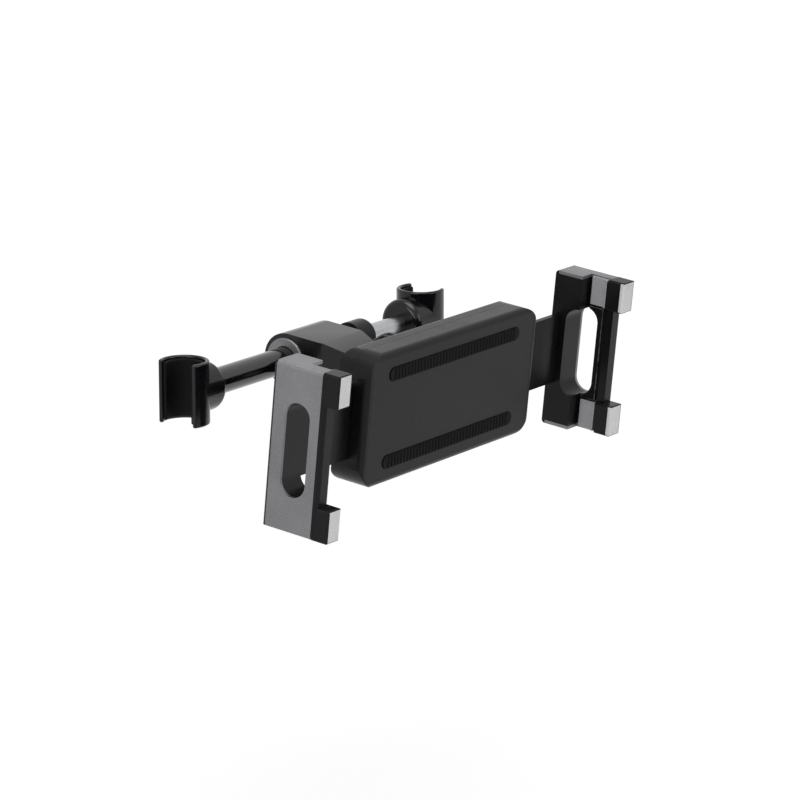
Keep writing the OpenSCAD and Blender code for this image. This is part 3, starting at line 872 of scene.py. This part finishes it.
@dataclass(frozen=True)
class RibbedStrip(NodeShape):
    """A rubber strip along X with round ends and round ribs across it, in millimetres above its foot.

    Attributes:
        length: Length of the strip.
        width: Its width.
        corner: Radius of its ends.
        base: Height of its flat top.
        rib_radius: Radius of the ribs.
        rib_top: Height of their tops.
        rib_pitch: Distance from rib to rib.
        rib_inset: How far their ends stay inside the strip's long sides.
    """

    length: float = 78.8
    width: float = 4.8
    corner: float = 2.3
    base: float = 0.85
    rib_radius: float = 0.6
    rib_top: float = 1.2
    rib_pitch: float = 1.9
    rib_inset: float = 0.35

    def draw(self, tree: bpy.types.NodeTree, size: bpy.types.NodeOutputs) -> bpy.types.Node:
        """Draws the flat strip and fuses its ribs with it.

        Args:
            tree: The tree that takes the nodes.
            size: Its size inputs.

        Returns:
            The node with the strip.
        """
        parts = {1: [self.strip(tree, size), self.ribs(tree, size)]}
        return add_node(tree, BOOLEAN, parts, operation="UNION", solver="MANIFOLD")

    @staticmethod
    def strip(
        tree: bpy.types.NodeTree, size: bpy.types.NodeOutputs, steps: int = 10, weld: float = 0.001
    ) -> bpy.types.Node:
        """Draws the strip without its ribs.

        Args:
            tree: The tree that takes the nodes.
            size: Its size inputs.
            steps: Steps in each rounded corner.
            weld: Points closer than this are one.

        Returns:
            The node with the closed strip.
        """
        sides = {"Width": size["Length"], "Height": size["Width"]}
        outline = add_node(tree, "GeometryNodeCurvePrimitiveQuadrilateral", sides)
        corners = {"Curve": outline, "Count": steps, "Radius": size["Corner"]}
        rounded = add_node(tree, "GeometryNodeFilletCurve", corners, mode="POLY")
        foot = add_node(tree, "GeometryNodeFillCurve", {0: rounded}, mode="NGONS")
        rise = {"Mesh": foot, "Offset": add_node(tree, XYZ, {"Z": size["Base"]}), "Individual": False}
        raised = add_node(tree, "GeometryNodeExtrudeMesh", rise)
        under = add_node(tree, "GeometryNodeFlipFaces", {0: foot})
        both = add_node(tree, "GeometryNodeJoinGeometry", {0: [raised, under]})
        return add_node(tree, "GeometryNodeMergeByDistance", {0: both, "Distance": weld})

    @staticmethod
    def ribs(tree: bpy.types.NodeTree, size: bpy.types.NodeOutputs, sides: int = 20) -> bpy.types.Node:
        """Draws as many ribs as fit on the straight part, centred on it.

        Args:
            tree: The tree that takes the nodes.
            size: Its size inputs.
            sides: Faces round each rib.

        Returns:
            The node with the ribs as real geometry.
        """
        pitch = size["Rib Pitch"]
        straight = add_node(tree, MATH, {0: size["Length"], 1: size["Width"]}, operation="SUBTRACT")
        fitting = add_node(tree, MATH, {0: straight, 1: pitch}, operation="DIVIDE")
        gaps = add_node(tree, MATH, {0: fitting}, operation="FLOOR")
        count = add_node(tree, MATH, {0: gaps, 1: 1.0}, operation="ADD")
        run = add_node(tree, MATH, {0: gaps, 1: pitch}, operation="MULTIPLY")
        first = add_node(tree, MATH, {0: run, 1: -0.5}, operation="MULTIPLY")
        axis = add_node(tree, MATH, {0: size["Rib Top"], 1: size["Rib Radius"]}, operation="SUBTRACT")
        line = {
            "Count": count,
            "Start Location": add_node(tree, XYZ, {"X": first, "Z": axis}),
            "Offset": add_node(tree, XYZ, {"X": pitch}),
        }
        row = add_node(tree, "GeometryNodeMeshLine", line, mode="OFFSET")
        trim = add_node(tree, MATH, {0: size["Rib Inset"], 1: 2.0}, operation="MULTIPLY")
        length = add_node(tree, MATH, {0: size["Width"], 1: trim}, operation="SUBTRACT")
        rib = add_node(tree, CYLINDER, {"Vertices": sides, "Radius": size["Rib Radius"], "Depth": length})
        repeat = {"Points": row, "Instance": rib, "Rotation": (math.pi / 2, 0.0, 0.0)}
        spread = add_node(tree, "GeometryNodeInstanceOnPoints", repeat)
        return add_node(tree, "GeometryNodeRealizeInstances", {0: spread})


@dataclass(frozen=True)
class PostClip:
    """One C-shaped post clip with its round hub, its rubber liner and its grub screw.

    Attributes:
        side: Its end of the mount.
        clip_edge: Rounding of the clip, in millimetres.
        liner_edge: Rounding of the liner.
        screw_edge: Rounding of the grub screw.
    """

    side: Side
    clip_edge: float = 0.55
    liner_edge: float = 0.3
    screw_edge: float = 0.1

    def build(self) -> list[bpy.types.Object]:
        """Makes the pieces of the clip.

        Returns:
            The clip, its liner and its screw.
        """
        word = self.side.word
        return [
            RoundedPiece(f"{word}_clip", GLOSS_ABS, self.clip_edge, segments=5).build(),
            RoundedPiece(f"{word}_clip_liner", BLACK_RUBBER, self.liner_edge).build(),
            RoundedPiece(f"{word}_grub_screw", TURNED_STEEL, self.screw_edge, segments=2).build(),
        ]


@dataclass(frozen=True)
class TelescopicBar:
    """Enamelled tube, guide collar and the bright rod with its piston that slides in them.

    Attributes:
        tube_edge: Rounding of the tube's ends, in millimetres.
        guide_edge: Rounding of the collar.
        rod_edge: Rounding of the rod's ends.
        piston_edge: Rounding of the piston.
    """

    tube_edge: float = 0.15
    guide_edge: float = 0.2
    rod_edge: float = 0.3
    piston_edge: float = 0.1

    def build(self) -> list[bpy.types.Object]:
        """Makes the pieces of the bar.

        Returns:
            Tube, collar, rod and piston.
        """
        return [
            RoundedPiece("outer_tube", ENAMEL, self.tube_edge).build(),
            RoundedPiece("rod_guide", SATIN_ABS, self.guide_edge).build(),
            RoundedPiece("inner_rod", TURNED_STEEL, self.rod_edge).build(),
            RoundedPiece("rod_piston", NYLON, self.piston_edge).build(),
        ]


@dataclass(frozen=True)
class Arm:
    """The arm with its knuckle round the bar, trim discs, friction sleeve, set screw and ball stud.

    Attributes:
        body_edge: Rounding of the arm, in millimetres.
        sharpest: Edges of the arm that turn more than this many degrees are rounded.
        sleeve_edge: Rounding of the friction sleeve.
        disc_edge: Rounding of the trim discs.
        screw_edge: Rounding of the set screw.
        stud_edge: Rounding of the ball stud.
    """

    body_edge: float = 0.9
    sharpest: float = 20.0
    sleeve_edge: float = 0.1
    disc_edge: float = 0.2
    screw_edge: float = 0.15
    stud_edge: float = 0.25

    def build(self) -> list[bpy.types.Object]:
        """Makes the pieces of the arm.

        Returns:
            Arm, sleeve, discs, set screw and stud.
        """
        return [
            RoundedPiece("arm_body", GLOSS_ABS, self.body_edge, segments=5, sharpest=self.sharpest).build(),
            RoundedPiece("hub_sleeve", NYLON, self.sleeve_edge).build(),
            *(RoundedPiece(f"{side.word}_hub_disc", ANODISED, self.disc_edge).build() for side in Side),
            RoundedPiece("hub_set_screw", TURNED_STEEL, self.screw_edge, segments=2).build(),
            RoundedPiece("ball_stud", TURNED_STEEL, self.stud_edge).build(),
        ]


@dataclass(frozen=True)
class BallJoint:
    """Nylon seat, spring steel tension ring and the grooved lock ring.

    Attributes:
        seat_edge: Rounding of the seat, in millimetres.
        tension_edge: Rounding of the tension ring.
        lock_edge: Rounding of the lock ring and its grooves.
    """

    seat_edge: float = 0.1
    tension_edge: float = 0.1
    lock_edge: float = 0.35

    def build(self) -> list[bpy.types.Object]:
        """Makes the pieces of the joint.

        Returns:
            Seat, tension ring and lock ring.
        """
        return [
            RoundedPiece("ball_seat", NYLON, self.seat_edge).build(),
            RoundedPiece("tension_ring", TURNED_STEEL, self.tension_edge).build(),
            RoundedPiece("lock_ring", SATIN_ABS, self.lock_edge).build(),
        ]


@dataclass(frozen=True)
class Cradle:
    """Housing of two shells with its rest pads, screws and pinion.

    Attributes:
        shell_edge: Rounding of the two shells in millimetres.
        screw: The screws that hold them together.
        screw_x: Distance of each screw from the middle, along the cradle.
        screw_u: Distance of each screw from the middle, up it.
        screw_top: Depth of the tops of the heads.
        strip: The ribbed rest strips.
        strip_foot: Depth of the floor of their grooves.
        strip_u: Distance of each strip from the middle, up the cradle.
    """

    shell_edge: float = 0.25
    screw: CrossScrew = CrossScrew(head_radius=2.0, tip_end=8.6)
    screw_x: float = 39.0
    screw_u: float = 21.4
    screw_top: float = 20.3
    strip: RibbedStrip = RibbedStrip()
    strip_foot: float = 7.5
    strip_u: float = 15.84

    def build(self) -> list[bpy.types.Object]:
        """Makes the pieces of the housing.

        Returns:
            Shells, rest strips, pinion and screws.
        """
        ends = (-1, 1)
        rows = [(0.0, self.strip_foot, up * self.strip_u) for up in ends]
        corners = [(out * self.screw_x, self.screw_top, up * self.screw_u) for out in ends for up in ends]
        return [
            RoundedPiece("back_cover", SATIN_ABS, self.shell_edge).build(),
            RoundedPiece("front_cover", SATIN_ABS, self.shell_edge).build(),
            self.strip.repeated("rest_pads", BLACK_RUBBER, Face.FRONT, rows),
            RoundedPiece("pinion", NYLON, edge=0.0).build(),
            self.screw.repeated("cover_screws", TURNED_STEEL, Face.BACK, corners),
        ]


@dataclass(frozen=True)
class Jaw:
    """One jaw: rack, black body with two hooks, grey metal cover, soft grey pads and its two screws.

    Attributes:
        side: Its end of the mount.
        rack_edge: Rounding of the rack plate, in millimetres.
        body_edge: Rounding of the body and its hooks.
        cover_edge: Rounding of the metal cover.
        pad_edge: Rounding of the pads on the hooks.
        trim_edge: Rounding of the hooks' lining and of the edge strip.
        screw: The screws that hold the body on the rack.
        screw_x: Distance of the screws from the middle, along the cradle.
        screw_u: Distance of each screw from the middle, up it.
        screw_top: Depth of the tops of the heads.
    """

    side: Side
    rack_edge: float = 0.15
    body_edge: float = 0.3
    cover_edge: float = 0.28
    pad_edge: float = 0.45
    trim_edge: float = 0.2
    screw: CrossScrew = CrossScrew(head_radius=2.2, tip_end=5.3, shank_end=3.0)
    screw_x: float = 84.0
    screw_u: float = 8.5
    screw_top: float = 18.65

    def build(self) -> list[bpy.types.Object]:
        """Makes the pieces of the jaw.

        Returns:
            Rack, body, cover, pads, lining, edge strip and screws.
        """
        word = self.side.word
        pair = [(self.side.value * self.screw_x, self.screw_top, up * self.screw_u) for up in (-1, 1)]
        return [
            RoundedPiece(f"{word}_rack", SATIN_ABS, self.rack_edge, segments=2).build(),
            RoundedPiece(f"{word}_jaw_body", SATIN_ABS, self.body_edge).build(),
            RoundedPiece(f"{word}_jaw_cover", ANODISED, self.cover_edge).build(),
            RoundedPiece(f"{word}_hook_pads", SOFT_GREY, self.pad_edge, segments=4).build(),
            RoundedPiece(f"{word}_lip_trim", LIP_GREY, self.trim_edge).build(),
            RoundedPiece(f"{word}_edge_pad", BLACK_RUBBER, self.trim_edge).build(),
            self.screw.repeated(f"{word}_rack_screws", TURNED_STEEL, Face.BACK, pair),
        ]


@dataclass(frozen=True)
class Spring:
    """A steel coil, remade from its frame node and left fixed where the frame has it, on no body.

    Attributes:
        node: Name of the frame node.
        far_body: The sliding body. Not used.
        far_side: The end of the coil that follows it. Not used.
        rigid: Length at each end that keeps its shape, in millimetres. Not used.
    """

    node: str
    far_body: str
    far_side: Side
    rigid: float = 3.0

    def build(self) -> list[bpy.types.Object]:
        """Makes the coil and leaves it fixed where the frame has it, on no body.

        Returns:
            The coil alone.
        """
        mesh = RoundedPiece(self.node, TURNED_STEEL, edge=0.0).mesh()
        piece = place_piece(mesh, TURNED_STEEL, self.node, rides=False)
        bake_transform(piece)
        return [piece]


def straight_rays(tree: bpy.types.NodeTree) -> bpy.types.Node:
    """Gives one for rays of the camera, of reflections and through clear things, else zero.

    Args:
        tree: The node tree that takes the nodes.

    Returns:
        The node with the factor.
    """
    ray = add_node(tree, "ShaderNodeLightPath").outputs
    pair = {0: ray["Is Camera Ray"], 1: ray["Is Glossy Ray"]}
    either = add_node(tree, MATH, pair, operation="MAXIMUM")
    return add_node(tree, MATH, {0: either, 1: ray["Is Transmission Ray"]}, operation="MAXIMUM")


@dataclass(frozen=True)
class SoftBox:
    """A square lamp that faces the mount.

    Attributes:
        name: Name of the lamp.
        place: Where it hangs, in metres.
        width: Side of the square in metres.
        power: Its power in watts.
    """

    name: str
    place: tuple[float, float, float]
    width: float
    power: float

    def build(self, aim: Vector) -> None:
        """Hangs the lamp.

        Args:
            aim: The point that it faces, in metres.
        """
        data = bpy.data.lights.new(self.name, "AREA")
        data.size = self.width
        data.energy = self.power
        lamp = bpy.data.objects.new(self.name, data)
        lamp.location = self.place
        lamp.rotation_mode = "QUATERNION"
        lamp.rotation_quaternion = (aim - Vector(self.place)).to_track_quat("-Z", "Y")
        bpy.context.scene.collection.objects.link(lamp)


@dataclass(frozen=True)
class Studio:
    """White product studio: the camera of the photograph, a pale floor and soft lamps.

    Attributes:
        azimuth: Where the camera stands, in degrees round from the front.
        elevation: How far it looks down, in degrees.
        distance: Its distance from its aim in millimetres.
        lens: Its focal length in millimetres.
        sensor: Width of its sensor in millimetres.
        clip: Nearest and farthest distance that it sees, in metres.
        aim: The point that it looks at, in millimetres.
        ambient: Strength of the surroundings as they light the mount.
        floor_z: Height of the floor in millimetres.
        floor_half: Half the floor's width in metres.
        floor_colour: Colour of its paper, as sRGB hex.
        floor_glow: Strength at which the paper shows itself, apart from its own shading.
        floor_white: Share of that glow under the mount, where the rest is shading with its shadow.
        shadow_room: Distances from the mount between which the glow takes over, in metres.
        lamps: The soft boxes.
    """

    azimuth: float = -54.64
    elevation: float = 14.12
    distance: float = 1403.8
    lens: float = 181.1
    sensor: float = 36.0
    clip: tuple[float, float] = (0.05, 20.0)
    aim: tuple[float, float, float] = (57.2, -50.5, -7.3)
    ambient: float = 0.42
    floor_z: float = -170.0
    floor_half: float = 3.0
    floor_colour: str = "#f2f2f2"
    floor_glow: float = 1.03
    floor_white: float = 0.72
    shadow_room: tuple[float, float] = (0.3, 0.8)
    lamps: tuple[SoftBox, ...] = (
        SoftBox("top_box", place=(-0.1, -0.2, 1.3), width=1.0, power=14.0),
        SoftBox("left_box", place=(-1.3, -0.1, 0.4), width=0.9, power=7.0),
        SoftBox("front_box", place=(0.4, -1.5, 0.5), width=0.9, power=7.0),
    )

    def build(self) -> None:
        """Sets up the camera, the surroundings, the floor and the lamps."""
        bpy.context.scene.view_settings.view_transform = "Standard"
        self.camera()
        self.world()
        self.floor()
        for lamp in self.lamps:
            lamp.build(Vector(self.aim) * MM)

    def camera(self) -> None:
        """Puts the camera where the photograph was taken from."""
        data = bpy.data.cameras.new("photo_camera")
        data.lens = self.lens
        data.sensor_width = self.sensor
        data.clip_start, data.clip_end = self.clip
        cam = bpy.data.objects.new("photo_camera", data)
        around, down = math.radians(self.azimuth), math.radians(self.elevation)
        level = math.cos(down)
        back = Vector((math.sin(around) * level, -math.cos(around) * level, math.sin(down)))
        cam.rotation_mode = "QUATERNION"
        cam.rotation_quaternion = (-back).to_track_quat("-Z", "Y")
        cam.location = Vector(self.aim) * MM + back * self.distance * MM
        bpy.context.scene.collection.objects.link(cam)
        bpy.context.scene.camera = cam

    def world(self) -> None:
        """Makes even pale surroundings that the camera and reflections see as white."""
        world = bpy.data.worlds.new("studio")
        bpy.context.scene.world = world
        tree = blank_tree(world)
        levels = {"Value": straight_rays(tree), "To Min": self.ambient, "To Max": 1.0}
        strength = add_node(tree, RANGE, levels)
        sky = add_node(tree, "ShaderNodeBackground", {"Color": WHITE, "Strength": strength})
        add_node(tree, "ShaderNodeOutputWorld", {"Surface": sky})

    def floor(self) -> None:
        """Lays a pale floor far below the mount, which hangs on its clips and throws a faint shadow."""
        mesh = bpy.data.meshes.new("floor")
        half, z = self.floor_half, self.floor_z * MM
        corners = [(-half, -half, z), (half, -half, z), (half, half, z), (-half, half, z)]
        mesh.from_pydata(corners, [], [(0, 1, 2, 3)])
        mesh.materials.append(self.paper())
        floor = bpy.data.objects.new("floor", mesh)
        bpy.context.scene.collection.objects.link(floor)

    def paper(self) -> bpy.types.Material:
        """Makes matt white paper that turns to plain white away from the mount.

        Returns:
            The floor's material.
        """
        paper = bpy.data.materials.new("white_paper")
        tree = blank_tree(paper)
        matt = add_node(tree, "ShaderNodeBsdfDiffuse", {"Color": linear(self.floor_colour)})
        glow = add_node(tree, "ShaderNodeEmission", {"Color": WHITE, "Strength": self.floor_glow})
        place = add_node(tree, "ShaderNodeTexCoord").outputs["Object"]
        away = add_node(tree, "ShaderNodeVectorMath", {0: place}, operation="LENGTH").outputs["Value"]
        near, far = self.shadow_room
        fade = {"Value": away, "From Min": near, "From Max": far, "To Min": self.floor_white}
        white = add_node(tree, RANGE, {**fade, "To Max": 1.0}, interpolation_type="SMOOTHSTEP")
        shown = add_node(tree, MATH, {0: straight_rays(tree), 1: white}, operation="MULTIPLY")
        both = add_node(tree, "ShaderNodeMixShader", {0: shown, 1: matt, 2: glow})
        add_node(tree, "ShaderNodeOutputMaterial", {"Surface": both})
        return paper


def main() -> None:
    """Builds the studio and each sub-assembly, and reports every piece."""
    logging.basicConfig(level=logging.INFO, format="%(name)s: %(message)s")
    Studio().build()
    assemblies = [
        PostClip(Side.LEFT),
        Jaw(Side.LEFT),
        PostClip(Side.RIGHT),
        Jaw(Side.RIGHT),
        TelescopicBar(),
        Arm(),
        BallJoint(),
        Cradle(),
        Spring("bar_spring", far_body="right_end", far_side=Side.RIGHT),
        Spring("left_spring", far_body="left_jaw", far_side=Side.LEFT),
        Spring("right_spring", far_body="right_jaw", far_side=Side.RIGHT),
    ]
    for assembly in assemblies:
        kind = type(assembly).__name__
        for piece in assembly.build():
            faces, finish = len(piece.data.polygons), piece.active_material.name
            LOG.info("%s: %s, %d faces, %s", kind, piece.name, faces, finish)


if __name__ == "__main__":
    main()
